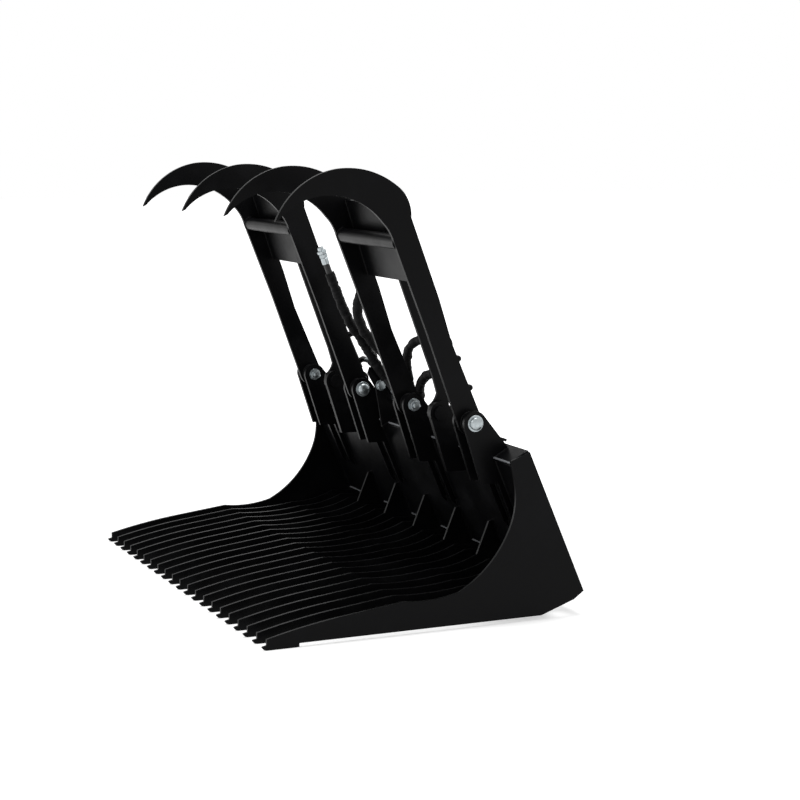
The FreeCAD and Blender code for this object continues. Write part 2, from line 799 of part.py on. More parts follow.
for label, x in CYLS:
    place = FreeCAD.Placement(
        FreeCAD.Vector(x, BASE[0] - size("origin_from_tip"), BASE[1]),
        FreeCAD.Rotation(FreeCAD.Vector(1, 0, 0), CYL_LEAN),
    )
    eye, eye_bore = cross_eye(size("cyl_eye_dia") / 2.0, CYL_R + size("fit_gap"), EYE_HALF, 0)
    body = Part.makeCylinder(BARREL_R, TOP - LOW, FreeCAD.Vector(0, 0, LOW), UPWARD)
    neck = Part.makeCylinder(21.0, LOW + 1, ORIGIN, UPWARD)
    hollow = TOP - LOW - END_WALL - size("gland_long")
    bore = Part.makeCylinder(BORE_R, hollow, FreeCAD.Vector(0, 0, LOW + END_WALL), UPWARD)
    gland_at = FreeCAD.Vector(0, 0, TOP - size("gland_long") - 1)
    gland = Part.makeCylinder(ROD_R + size("fit_gap"), size("gland_long") + 2, gland_at, UPWARD)
    inward = 1 if label == "left" else -1
    ports = elbow(PORT_LEVELS[0], inward) + elbow(PORT_LEVELS[1], inward)
    barrel = eye.fuse([neck, body] + ports).cut(eye_bore).cut(bore).cut(gland)
    solid_node("cylinder_barrel_" + label, barrel.removeSplitter(), place)
    eye_bore_r = CYL_R + size("rod_eye_play")
    rod_eye, rod_bore = cross_eye(eye_bore_r + 7.0, eye_bore_r, 35.0, CYL_LONG)
    start = LOW + END_WALL + 2
    foot = FreeCAD.Vector(0, 0, start)
    piston = Part.makeCylinder(BORE_R - size("fit_gap"), size("piston_long"), foot, UPWARD)
    stem = Part.makeCylinder(ROD_R, CYL_LONG - start - eye_bore_r, foot, UPWARD)
    rod = piston.fuse([stem, rod_eye]).cut(rod_bore)
    solid_node("cylinder_rod_" + label, rod.removeSplitter(), place)

# Hoses: a bracket on the top plate carries two tees, two supply hoses come down
# to them, and each tee feeds one port of both cylinders.

BRACKET_FACE = size("bracket_x")


def from_top(reach, height):
    """Point measured from the top plate's rear edge."""
    return (REAR_TOP[0] + reach, REAR_TOP[1] + height)


TEE_FRONT = from_top(-42, 67)
TEE_REAR = from_top(-9, 45)
BOLT_AT = from_top(-97, 105)


def in_space(x, reach, height):
    """Point of the part given by its side position, reach and height."""
    return FreeCAD.Vector(x, reach - size("origin_from_tip"), height)


def bar_between(radius, start, end):
    """Round bar between two points."""
    return Part.makeCylinder(radius, (end - start).Length, start, end - start)


def hose(name, points, diameter):
    """Tube along straight runs that tangent arcs join."""
    path = []
    last = points[0]
    radii = []
    for before, corner, after in zip(points, points[1:], points[2:]):
        shorter = min((corner - before).Length, (after - corner).Length)
        come = (corner - before).normalize()
        leave = (after - corner).normalize()
        turn = come.getAngle(leave)
        trim = 0.45 * shorter
        radius = trim / math.tan(turn / 2.0)
        inward = (leave - come).normalize()
        middle = corner + inward * (radius / math.cos(turn / 2.0) - radius)
        start = corner - come * trim
        end = corner + leave * trim
        path.append(Part.makeLine(last, start))
        path.append(Part.Arc(start, middle, end).toShape())
        last = end
        radii.append(round(radius))
    path.append(Part.makeLine(last, points[-1]))
    wire = Part.Wire(path)
    ring = Part.Wire(Part.makeCircle(diameter / 2.0, points[0], points[1] - points[0]))
    tube = wire.makePipeShell([ring], True, True)
    share = tube.Volume / (math.pi * diameter ** 2 / 4.0 * wire.Length)
    print(name, "bend radii", radii, "length", round(wire.Length), "volume share", round(share, 3))
    return tube


rear_top_z = cross_point(LIP_TOP, UP, (REAR_TOP[0] - 3.0, 0), (0.0, 1.0))
front_top_z = cross_point(LIP_TOP, UP, from_top(-91, 0), (0.0, 1.0))
bracket = upright(outline([
    spot(*front_top_z),
    spot(*rear_top_z),
    spot(TEE_REAR[0] + 19, TEE_REAR[1] - 18),
    spot(TEE_REAR[0] + 19, TEE_REAR[1] + 16),
    spot(*from_top(-29, 105)),
    spot(*from_top(-72, 149)),
    spot(*from_top(-138, 172)),
    spot(*from_top(-146, 149)),
    spot(*from_top(-115, 95)),
]), BRACKET_FACE - size("bracket_thick"), size("bracket_thick"))
stem_r = size("stem_dia") / 2.0
for tee in (TEE_FRONT, TEE_REAR):
    bracket = bracket.cut(rod_x(stem_r + 0.5, BRACKET_FACE - 30, BRACKET_FACE + 10, *tee))
bolt_r = size("bracket_bolt_dia") / 2.0
bracket = bracket.cut(rod_x(bolt_r + 0.3, BRACKET_FACE - 30, BRACKET_FACE + 10, *BOLT_AT))
solid_node("hose_bracket", bracket)

OUTLET_X = -40.0
FRONT_FEED = [
    (-86, 770, 722), (-90, 719, 807), (-90, 667, 880),
    (-93, 633, 955), (-96, 608, 1020), (-95, 581, 1089),
]
REAR_FEED = [
    (-52, 828, 715), (-50, 760, 790), (-44, 700, 850),
    (-35, 668, 925), (-22, 682, 1000), (-12, 706, 1070),
]
back_of_bracket = BRACKET_FACE - size("bracket_thick") - 8.0
block = size("tee_block")
fittings = []
feed_routes = []
for tee, end_x, points in (
    (TEE_FRONT, -66.0, FRONT_FEED),
    (TEE_REAR, OUTLET_X, REAR_FEED),
):
    corner = in_space(BRACKET_FACE, tee[0] - block / 2.0, tee[1] - block / 2.0)
    body = Part.makeBox(end_x - BRACKET_FACE, block, block, corner)
    stem = rod_x(stem_r, back_of_bracket, OUTLET_X, *tee)
    centre = in_space(points[0][0], *tee)
    way = (in_space(*points[0]) - centre).normalize()
    outlet = centre + way * size("feed_stem")
    riser = bar_between(stem_r + 2, centre, outlet)
    feed_routes.append([outlet] + [in_space(*p) for p in points])
    fittings.append(body.fuse([stem, riser]).removeSplitter())
bolt = rod_x(bolt_r, BRACKET_FACE - size("bracket_thick") - 14, BRACKET_FACE + 8, *BOLT_AT)
bolt = bolt.fuse(rod_x(bolt_r * 1.7, BRACKET_FACE, BRACKET_FACE + 9, *BOLT_AT))
far_face = BRACKET_FACE - size("bracket_thick")
nut = rod_x(bolt_r * 1.7, far_face - 10, far_face, *BOLT_AT)
fittings.append(bolt.fuse(nut).removeSplitter())
solid_node("hose_tees", Part.makeCompound(fittings))


def port_spot(side_x, inward, level):
    """Open end of a barrel's elbow."""
    lean = math.radians(CYL_LEAN)
    back = size("port_back") * math.cos(lean) - level * math.sin(lean)
    rise = size("port_back") * math.sin(lean) + level * math.cos(lean)
    return in_space(side_x + inward * (size("port_side") + 0.3), BASE[0] + back, BASE[1] + rise)


left_ports = [port_spot(CYLS[0][1], 1, level) for level in PORT_LEVELS]
right_ports = [port_spot(CYLS[1][1], -1, level) for level in PORT_LEVELS]
ROUTES = [
    [in_space(*p) for p in (
        (OUTLET_X, 845, 612), (61, 845, 612), (118, 803, 693), (136, 782, 794),
        (187, 802, 844), (252, 838, 843), (305, 850, 796),
    )] + [right_ports[1]],
    [in_space(*p) for p in (
        (OUTLET_X, 878, 590), (60, 878, 590), (121, 838, 677), (205, 845, 732), (293, 894, 696),
    )] + [right_ports[0]],
    [in_space(*p) for p in (
        (back_of_bracket, 845, 612), (-218, 845, 612), (-352, 850, 796),
    )] + [left_ports[1]],
    [in_space(*p) for p in (
        (back_of_bracket, 878, 590), (-250, 878, 590), (-360, 894, 696),
    )] + [left_ports[0]],
]
tubes = [hose("cylinder hose", route, size("hose_dia")) for route in ROUTES]
solid_node("cylinder_hoses", Part.makeCompound(tubes))

couplers = []
for label, route in zip(("left", "right"), feed_routes):
    solid_node("feed_hose_" + label, hose("feed hose", route, size("feed_dia")))
    end = route[-1]
    way = (route[-1] - route[-2]).normalize()
    radius = size("coupler_dia") / 2.0
    long = size("coupler_long")
    couplers.append(bar_between(radius, end, end + way * long * 0.45).fuse([
        bar_between(radius * 1.25, end + way * long * 0.45, end + way * long * 0.8),
        bar_between(radius * 0.8, end + way * long * 0.8, end + way * long),
    ]))
solid_node("hose_couplers", Part.makeCompound(couplers))

# Check and write every piece

doc.recompute()
pieces = [o for o in doc.Objects if o.TypeId in ("PartDesign::Body", "Part::Feature")]
for item in doc.Objects:
    bad = [flag for flag in item.State if flag in ("Invalid", "Error")]
    if bad:
        raise RuntimeError("%s failed: %s" % (item.Name, bad))
for piece in pieces:
    if piece.Shape.isNull() or not piece.Shape.isValid():
        raise RuntimeError("%s has no valid shape" % piece.Label)

os.makedirs("parts", exist_ok=True)
whole = FreeCAD.BoundBox()
for piece in pieces:
    whole.add(piece.Shape.BoundBox)
    piece.Shape.exportStep("parts/%s.step" % piece.Label)
print(len(pieces), "pieces, box", whole)
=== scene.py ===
# %% [markdown]
# A skeleton grapple bucket in black powder-coated steel. The CAD model already gives every
# plate, tine, pin and cylinder. This file dresses it: paint with a fine orange-peel skin,
# zinc and chrome, weld beads along the joints of the plates, turned bolts and couplers, and
# the hydraulic hoses in their woven sleeves.

# %% Load the frame
import math
import bpy
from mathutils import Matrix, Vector, noise


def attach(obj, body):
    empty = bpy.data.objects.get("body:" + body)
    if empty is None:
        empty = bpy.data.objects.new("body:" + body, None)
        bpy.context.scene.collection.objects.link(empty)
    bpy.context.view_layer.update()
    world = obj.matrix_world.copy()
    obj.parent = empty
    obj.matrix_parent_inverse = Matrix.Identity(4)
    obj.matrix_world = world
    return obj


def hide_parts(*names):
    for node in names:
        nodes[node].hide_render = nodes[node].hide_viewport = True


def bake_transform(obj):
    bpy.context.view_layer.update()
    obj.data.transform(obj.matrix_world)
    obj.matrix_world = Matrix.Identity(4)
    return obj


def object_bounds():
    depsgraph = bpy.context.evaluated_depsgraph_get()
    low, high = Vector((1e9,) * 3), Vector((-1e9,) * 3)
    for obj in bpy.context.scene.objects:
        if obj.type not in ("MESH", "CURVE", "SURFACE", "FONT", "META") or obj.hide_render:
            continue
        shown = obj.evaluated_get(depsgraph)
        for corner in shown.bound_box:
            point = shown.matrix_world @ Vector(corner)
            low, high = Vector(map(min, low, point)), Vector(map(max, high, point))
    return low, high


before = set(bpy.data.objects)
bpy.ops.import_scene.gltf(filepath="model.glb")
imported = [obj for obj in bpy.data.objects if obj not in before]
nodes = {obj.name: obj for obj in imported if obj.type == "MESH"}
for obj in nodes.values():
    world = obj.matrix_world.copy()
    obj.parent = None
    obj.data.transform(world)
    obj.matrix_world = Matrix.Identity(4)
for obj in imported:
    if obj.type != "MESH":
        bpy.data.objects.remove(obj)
cad_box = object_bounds()
print(len(nodes), "CAD nodes in", cad_box)

# %% [markdown]
# The camera first. A long lens far away keeps the tines nearly parallel, as in a catalogue
# picture of a machine. It looks over the right-hand side plate at the front of the bucket.

# %% Camera
LENS_MM = 86.4
camera_data = bpy.data.cameras.new("camera")
camera_data.lens = LENS_MM
camera_data.sensor_width = 36.0
camera_data.clip_end = 100.0
camera = bpy.data.objects.new("camera", camera_data)
camera.location = (6.15358, -2.47916, 1.53429)
looking = Vector((-0.90513, 0.40287, -0.13648))
camera.rotation_euler = looking.to_track_quat("-Z", "Y").to_euler()
bpy.context.scene.collection.objects.link(camera)
bpy.context.scene.camera = camera
bpy.context.scene.view_settings.view_transform = "Standard"
print("camera", tuple(round(v, 3) for v in camera.location), "lens", LENS_MM, "mm")

# %% [markdown]
# Two helpers for everything that follows. Colours are written as sRGB hex, the way a paint
# chart gives them, and turned to the linear values that the renderer works in. One function
# adds a shader node with its settings and links.

# %% Colour and node helpers
def linear(code):
    """Linear RGBA of an sRGB hex colour."""
    out = []
    for i in (0, 2, 4):
        c = int(code[i:i + 2], 16) / 255.0
        out.append(c / 12.92 if c <= 0.04045 else ((c + 0.055) / 1.055) ** 2.4)
    return (*out, 1.0)


def add(tree, kind, settings=None, **inputs):
    """One new node: settings are its own properties, inputs are values or output sockets."""
    node = tree.nodes.new(kind)
    for key, value in (settings or {}).items():
        setattr(node, key, value)
    for key, value in inputs.items():
        name = key.replace("_", " ")
        socket = next(s for s in node.inputs if s.name == name and s.enabled)
        if isinstance(value, bpy.types.NodeSocket):
            tree.links.new(value, socket)
        else:
            socket.default_value = value
    return node


def new_material(name):
    """Empty node material and its tree, with the output node made."""
    material = bpy.data.materials.new(name)
    material.use_nodes = True
    material.node_tree.nodes.clear()
    return material, material.node_tree


print("deep black reads", [round(v, 4) for v in linear("0B0B0C")[:3]])

# %% [markdown]
# The studio is a white floor under a white sky. A soft glow that only the camera sees, also in
# gloss and glass, lifts the lit floor to paper white, and it grows with the distance from the
# part until floor and sky are one. Close to the part the floor still darkens where the steel
# shades it, so the contact shadow stays. The sky lights the part at a calmer level than the
# camera sees it, so a colour renders about as it is written.

# %% Floor and sky
FLOOR_HALF = 40.0
GLOW_NEAR = 0.42


def seen_by_eye(tree):
    """One for rays from the camera, straight or by way of gloss and glass."""
    paths = add(tree, "ShaderNodeLightPath")
    mirror = add(tree, "ShaderNodeMath", {"operation": "MAXIMUM"})
    tree.links.new(paths.outputs["Is Glossy Ray"], mirror.inputs[0])
    tree.links.new(paths.outputs["Is Transmission Ray"], mirror.inputs[1])
    any_of = add(tree, "ShaderNodeMath", {"operation": "MAXIMUM"})
    tree.links.new(paths.outputs["Is Camera Ray"], any_of.inputs[0])
    tree.links.new(mirror.outputs[0], any_of.inputs[1])
    return any_of.outputs[0]


floor_material, tree = new_material("matt white studio floor")
place = add(tree, "ShaderNodeTexCoord")
distance = add(tree, "ShaderNodeVectorMath", {"operation": "LENGTH"})
tree.links.new(place.outputs["Object"], distance.inputs[0])
glow = add(tree, "ShaderNodeMapRange", Value=distance.outputs["Value"], From_Min=1.3,
           From_Max=4.0, To_Min=GLOW_NEAR, To_Max=1.0)
seen = add(tree, "ShaderNodeMath", {"operation": "MULTIPLY"})
tree.links.new(seen_by_eye(tree), seen.inputs[0])
tree.links.new(glow.outputs["Result"], seen.inputs[1])
matt = add(tree, "ShaderNodeBsdfDiffuse", Color=linear("F0F0F0"))
shine = add(tree, "ShaderNodeEmission", Color=linear("FFFFFF"), Strength=seen.outputs[0])
both = add(tree, "ShaderNodeAddShader")
tree.links.new(matt.outputs[0], both.inputs[0])
tree.links.new(shine.outputs[0], both.inputs[1])
add(tree, "ShaderNodeOutputMaterial", Surface=both.outputs[0])

floor_mesh = bpy.data.meshes.new("studio_floor")
corners = [(-FLOOR_HALF, -FLOOR_HALF, 0), (FLOOR_HALF, -FLOOR_HALF, 0),
           (FLOOR_HALF, FLOOR_HALF, 0), (-FLOOR_HALF, FLOOR_HALF, 0)]
floor_mesh.from_pydata(corners, [], [(0, 1, 2, 3)])
floor = bpy.data.objects.new("studio_floor", floor_mesh)
floor.data.materials.append(floor_material)
floor.location.z = cad_box[0][2] - 0.0005
bpy.context.scene.collection.objects.link(floor)

SKY_LIGHT = 0.55
world = bpy.data.worlds.new("white sky")
bpy.context.scene.world = world
world.use_nodes = True
tree = world.node_tree
tree.nodes.clear()
as_light = add(tree, "ShaderNodeBackground", Color=linear("FFFFFF"), Strength=SKY_LIGHT)
as_seen = add(tree, "ShaderNodeBackground", Color=linear("FFFFFF"), Strength=1.0)
mixed = add(tree, "ShaderNodeMixShader")
tree.links.new(seen_by_eye(tree), mixed.inputs[0])
tree.links.new(as_light.outputs[0], mixed.inputs[1])
tree.links.new(as_seen.outputs[0], mixed.inputs[2])
add(tree, "ShaderNodeOutputWorld", Surface=mixed.outputs[0])
print("floor at", round(floor.location.z, 4), "sky light", SKY_LIGHT)

# %% [markdown]
# Four softboxes. Black paint shows its form only by what it reflects, so the boxes are
# fairly small and bright: one high in front lights the top edges of the tines and the fronts
# of the arms, one overhead draws the tubes, a weak one fills from behind, and a small low
# one at the left lights the cross plates, which face forward and down.

# %% Softboxes
def softbox(name, place, target, wide, watts):
    """Square area lamp at place, turned to target."""
    lamp = bpy.data.lights.new(name, "AREA")
    lamp.shape = "SQUARE"
    lamp.size = wide
    lamp.energy = watts
    lamp_object = bpy.data.objects.new(name, lamp)
    lamp_object.location = place
    aim = Vector(target) - Vector(place)
    lamp_object.rotation_euler = aim.to_track_quat("-Z", "Y").to_euler()
    bpy.context.scene.collection.objects.link(lamp_object)
    return lamp_object


MIDDLE = (0.0, 0.0, 0.6)
softbox("softbox_front", (0.5, -4.2, 3.4), MIDDLE, 1.8, 48.0)
softbox("softbox_top", (0.6, 0.6, 4.6), MIDDLE, 1.6, 80.0)
softbox("softbox_rear", (-2.5, 4.0, 2.6), MIDDLE, 2.0, 45.0)
softbox("softbox_left", (-2.6, -2.6, 0.6), (0.0, 0.0, 1.1), 1.2, 26.0)
print("four softboxes")

# %% [markdown]
# Black gloss powder coat. Dry powder is sprayed on the grit-blasted steel and baked, where it
# melts to a hard skin 60 to 100 micrometres thick. The eye sees deep black, a satin gloss and
# a fine orange peel about 3 mm across. Rounded plate edges catch the light, so the shader
# rounds every corner by about 1 mm. Handling leaves faint dull rubs. Polyester has an IOR
# near 1.5; the specular level is set low to match the depth of this black. The two long seams
# that stand proud inside the bucket get a paler version of the coat, which is painted highlight
# for the light they catch from above.

# %% Black powder coat
def powder_coat(name, colour, roughness, level):
    material, tree = new_material(name)
    place = add(tree, "ShaderNodeTexCoord")
    peel = add(tree, "ShaderNodeTexNoise", Vector=place.outputs["Object"],
               Scale=1000.0 / 3.0, Detail=1.0, Roughness=0.4)
    rubs = add(tree, "ShaderNodeTexNoise", Vector=place.outputs["Object"],
               Scale=1000.0 / 160.0, Detail=5.0, Roughness=0.62)
    dull = add(tree, "ShaderNodeMapRange", Value=rubs.outputs["Fac"], From_Min=0.45,
               From_Max=0.75, To_Min=roughness, To_Max=roughness + 0.16)
    tint = add(tree, "ShaderNodeMapRange", Value=rubs.outputs["Fac"], From_Min=0.5,
               From_Max=0.8, To_Min=0.0, To_Max=0.35)
    paint = add(tree, "ShaderNodeMix", {"data_type": "RGBA"}, Factor=tint.outputs["Result"],
                A=linear(colour), B=linear("1A1B1D"))
    rounded = add(tree, "ShaderNodeBevel", {"samples": 4}, Radius=0.0012)
    skin = add(tree, "ShaderNodeBump", Strength=0.12, Distance=0.0002,
               Height=peel.outputs["Fac"], Normal=rounded.outputs["Normal"])
    surface = add(tree, "ShaderNodeBsdfPrincipled", Base_Color=paint.outputs["Result"],
                  Roughness=dull.outputs["Result"], Normal=skin.outputs["Normal"], IOR=1.5,
                  Specular_IOR_Level=level)
    add(tree, "ShaderNodeOutputMaterial", Surface=surface.outputs[0])
    return material


black_coat = powder_coat("gloss black powder-coat steel", "070708", 0.34, 0.072)
# The pale grey seam coat is painted highlight: it stands in for the light the proud seams catch.
seam_highlight_coat = powder_coat("pale coat painted as highlight on proud seams", "6E7073", 0.3, 0.3)
print(black_coat.name, "and", seam_highlight_coat.name)

# %% [markdown]
# Zinc-plated bolts. A few micrometres of zinc on steel, clear passivated: a cool light grey
# with a slightly cloudy roughness. Metals keep the default IOR.

# %% Zinc plate
def plated(name, colour, dark, roughness, cloud_mm):
    material, tree = new_material(name)
    place = add(tree, "ShaderNodeTexCoord")
    cloud = add(tree, "ShaderNodeTexNoise", Vector=place.outputs["Object"],
                Scale=1000.0 / cloud_mm, Detail=4.0, Roughness=0.55)
    spread = add(tree, "ShaderNodeMapRange", Value=cloud.outputs["Fac"], From_Min=0.3,
                 From_Max=0.75, To_Min=roughness - 0.07, To_Max=roughness + 0.12)
    tone = add(tree, "ShaderNodeMix", {"data_type": "RGBA"}, Factor=cloud.outputs["Fac"],
               A=linear(colour), B=linear(dark))
    rounded = add(tree, "ShaderNodeBevel", {"samples": 4}, Radius=0.0008)
    surface = add(tree, "ShaderNodeBsdfPrincipled", Base_Color=tone.outputs["Result"],
                  Metallic=1.0, Roughness=spread.outputs["Result"],
                  Normal=rounded.outputs["Normal"])
    add(tree, "ShaderNodeOutputMaterial", Surface=surface.outputs[0])
    return material


zinc = plated("zinc-plated bolts", "B2B8BA", "8F979A", 0.32, 9.0)
print(zinc.name)

# %% [markdown]
# Hard chrome on the piston rods. Twenty micrometres of chromium, ground and polished round
# the rod, make a mirror with the faintest haze. The rod's eye is welded on and painted with
# the rest. Both are one solid, and the shader tells them apart by the distance from the eye's
# own axis: within 42 mm it is paint, beyond it chrome. Two materials would need a cut mesh.

# %% Rod with a painted eye
EYE_PAINT = 0.042


def rod_finish(name, eye):
    """Chrome that turns to black paint round the axis through eye."""
    material, tree = new_material(name)
    place = add(tree, "ShaderNodeTexCoord")
    aside = add(tree, "ShaderNodeVectorMath", {"operation": "MULTIPLY"})
    tree.links.new(place.outputs["Object"], aside.inputs[0])
    aside.inputs[1].default_value = (0.0, 1.0, 1.0)
    gap = add(tree, "ShaderNodeVectorMath", {"operation": "DISTANCE"})
    tree.links.new(aside.outputs["Vector"], gap.inputs[0])
    gap.inputs[1].default_value = (0.0, eye.y, eye.z)
    metal = add(tree, "ShaderNodeMath", {"operation": "GREATER_THAN"}, Value=gap.outputs["Value"])
    metal.inputs[1].default_value = EYE_PAINT
    cloud = add(tree, "ShaderNodeTexNoise", Vector=place.outputs["Object"],
                Scale=1000.0 / 30.0, Detail=4.0, Roughness=0.55)
    tone = add(tree, "ShaderNodeMix", {"data_type": "RGBA"}, Factor=cloud.outputs["Fac"],
               A=linear("E6E8EA"), B=linear("D2D5D8"))
    colour = add(tree, "ShaderNodeMix", {"data_type": "RGBA"}, Factor=metal.outputs[0],
                 A=linear("0A0A0B"), B=tone.outputs["Result"])
    spread = add(tree, "ShaderNodeMapRange", Value=metal.outputs[0], To_Min=0.34, To_Max=0.12)
    surface = add(tree, "ShaderNodeBsdfPrincipled", Base_Color=colour.outputs["Result"],
                  Metallic=metal.outputs[0], Roughness=spread.outputs["Result"], IOR=1.5,
                  Specular_IOR_Level=0.13)
    add(tree, "ShaderNodeOutputMaterial", Surface=surface.outputs[0])
    return material


ROD_EYE = Vector((0.0, 0.2102, 0.85))
rod_chrome = rod_finish("hard chrome rod with painted eye", ROD_EYE)
print(rod_chrome.name)

# %% [markdown]
# Hose rubber. A hydraulic hose is steel braid between two layers of black rubber. The cover
# is wrapped in a fabric tape while it cures, and the tape leaves a fine cloth print and a
# dull sheen. Rubber has an IOR near 1.52.

# %% Hose rubber
def rubber(name, colour, roughness, print_mm):
    material, tree = new_material(name)
    place = add(tree, "ShaderNodeTexCoord")
    cloth = add(tree, "ShaderNodeTexNoise", Vector=place.outputs["Object"],
                Scale=1000.0 / print_mm, Detail=2.0, Roughness=0.6)
    dust = add(tree, "ShaderNodeTexNoise", Vector=place.outputs["Object"],
               Scale=1000.0 / 60.0, Detail=4.0, Roughness=0.6)
    tone = add(tree, "ShaderNodeMix", {"data_type": "RGBA"}, Factor=dust.outputs["Fac"],
               A=linear(colour), B=linear("1D1D1E"))
    skin = add(tree, "ShaderNodeBump", Strength=0.25, Distance=0.0002,
               Height=cloth.outputs["Fac"])
    surface = add(tree, "ShaderNodeBsdfPrincipled", Base_Color=tone.outputs["Result"],
                  Roughness=roughness, Normal=skin.outputs["Normal"], IOR=1.52,
                  Specular_IOR_Level=0.35)
    add(tree, "ShaderNodeOutputMaterial", Surface=surface.outputs[0])
    return material


hose_rubber = rubber("black hydraulic hose rubber", "101011", 0.48, 0.9)
print(hose_rubber.name)

# %% [markdown]
# Each CAD node takes the finish of the real piece. The centre pins are painted over with the
# arms, the hinge bolts are put in after painting and stay bright.

# %% Finishes of the CAD nodes
BRIGHT = {"hinge_bolts": zinc, "cylinder_base_pins": zinc, "hose_tees": zinc,
          "cylinder_rod_left": rod_chrome, "cylinder_rod_right": rod_chrome}
for name, piece in nodes.items():
    piece.data.materials.clear()
    piece.data.materials.append(BRIGHT.get(name, black_coat))
print(len(BRIGHT), "bright nodes,", len(nodes) - len(BRIGHT), "painted")

# %% [markdown]
# The seams follow the plates, so a few driving dimensions come over from the CAD model: the
# corners of its side view in millimetres, as reach behind the tine tips and height above the
# floor, and half the thickness of tines and side plates. One function places such a point in
# the frame and one finds where two lines meet.

# %% Places in the side view
ORIGIN_REACH = 561.8
REAR_TOP = Vector((887.0, 545.0))
REAR_LOW = Vector((1087.0, 79.0))
LIP = Vector((826.0, 505.0))
TOP_THICK = 9.5
BACK_FOOT = 141.0
PITCH = 85.7
TINES = 19
TINE_HALF = 4.75
INNER_X = PITCH * (TINES + 1) / 2 - TINE_HALF
HINGE = Vector((754.0, 628.0))
TUBE = Vector((515.0, 1206.0))
PLATE_TOP = Vector((530.0, 1325.0))
PLATE_LOW = Vector((612.0, 1074.0))
BASE = Vector((870.0, 625.0))

down = (REAR_LOW - REAR_TOP).normalized()
behind = Vector((-down.y, down.x))
along_top = (REAR_TOP + Vector((0, -0.6 * TOP_THICK)) - LIP).normalized()
above_top = Vector((-along_top.y, along_top.x))


def at(x, side):
    """Point of the frame in metres from X and a side-view point in millimetres."""
    return Vector((x, side.x - ORIGIN_REACH, side.y)) / 1000.0


def meet(p, u, q, v):
    """Where the line through p along u meets the line through q along v."""
    across = u.x * v.y - u.y * v.x
    return p + u * (((q.x - p.x) * v.y - (q.y - p.y) * v.x) / across)


def level(height):
    """Point of the back plate's front face at a height."""
    return meet(LIP, down, Vector((0, height)), Vector((1, 0)))


LIP_TOP = LIP + above_top * TOP_THICK
print("top plate's front edge at", tuple(round(v) for v in LIP_TOP))

# %% [markdown]
# Weld beads. The welder runs a MIG bead along each inside corner; the pool freezes in ripples
# that overlap like a row of coins, a bead about 8 mm wide with a ripple every 4 mm. A bead is
# a tube laid on the seam, half sunk in the two plates, whose radius falls off from each
# ripple's crest. It could be painted on as a bump, but only real height breaks the outline
# and catches the light.

# %% Weld beads
RIPPLE = 0.0042
STEP = 0.0014
BEAD_R = 0.0038
WOBBLE_SCALE = 90.0
WOBBLE = 0.12
RIPPLE_DEPTH = 0.2
END_TAPER = 0.35
ASKEW = Vector((0.31, 0.84, 0.44))


def spaced(points, step):
    """Points at equal steps along a polyline."""
    out = []
    for a, b in zip(points, points[1:]):
        count = max(2, int((b - a).length / step))
        out += [a.lerp(b, i / count) for i in range(count)]
    return out + [points[-1]]


def tube_faces(count, sides):
    """Faces of a tube whose vertices run ring by ring, closed at both ends."""
    faces = []
    for i in range(count - 1):
        for k in range(sides):
            n = (k + 1) % sides
            faces.append((i * sides + k, i * sides + n, (i + 1) * sides + n, (i + 1) * sides + k))
    faces.append(tuple(range(sides - 1, -1, -1)))
    last = (count - 1) * sides
    faces.append(tuple(range(last, last + sides)))
    return faces


def bead(points, radius, sides=8):
    """Vertices and faces of one rippled tube with closed ends."""
    line = spaced(points, STEP)
    verts = []
    run = 0.0
    for i, point in enumerate(line):
        ahead = line[min(i + 1, len(line) - 1)] - line[max(i - 1, 0)]
        way = ahead.normalized()
        side = way.cross(ASKEW).normalized()
        up = way.cross(side)
        run += (line[i] - line[i - 1]).length if i else 0.0
        ripple = (run / RIPPLE) % 1.0
        wobble = noise.noise(point * WOBBLE_SCALE) * WOBBLE
        size = radius * (1.0 - RIPPLE_DEPTH * ripple * ripple + wobble)
        if i in (0, len(line) - 1):
            size *= END_TAPER
        for k in range(sides):
            turn = 2.0 * math.pi * k / sides
            verts.append(point + (side * math.cos(turn) + up * math.sin(turn)) * size)
    return verts, tube_faces(len(line), sides)


def mesh_piece(name, verts, faces, material, body, slot):
    """Smooth mesh object that rides on a CAD body."""
    mesh = bpy.data.meshes.new(name)
    mesh.from_pydata(verts, [], faces)
    mesh.shade_smooth()
    mesh.materials.append(material)
    piece = bpy.data.objects.new(name, mesh)
    bpy.context.scene.collection.objects.link(piece)
    if body is not None:
        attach(piece, body)
    return piece


def weld(name, body, seams, radius=BEAD_R, coat=black_coat):
    """All the beads of one kind of joint, as one painted piece."""
    verts, faces = [], []
    for seam in seams:
        more, rings = bead(seam, radius)
        faces += [tuple(i + len(verts) for i in face) for face in rings]
        verts += more
    return mesh_piece(name, verts, faces, coat, body, "black_paint")


def ring(x, centre, radius, count=40):
    """Closed circle round the X axis in the side view, as seam points."""
    turns = [2.0 * math.pi * i / count for i in range(count + 1)]
    return [at(x, centre + Vector((math.cos(t), math.sin(t))) * radius) for t in turns]


print("ripple", RIPPLE * 1000, "mm")

# %% [markdown]
# The bucket's own seams: top plate and back plate to each other and to the side plates,
# every tine to the back plate and to the rear cross bar, and the hinge ears, which stand on
# the top plate and are welded all the way along both faces. Claws, levers and ears are cut
# from the same plate, 12.7 mm thick. The bead along the back plate's foot is the longest one,
# and the tines' tops end at it.

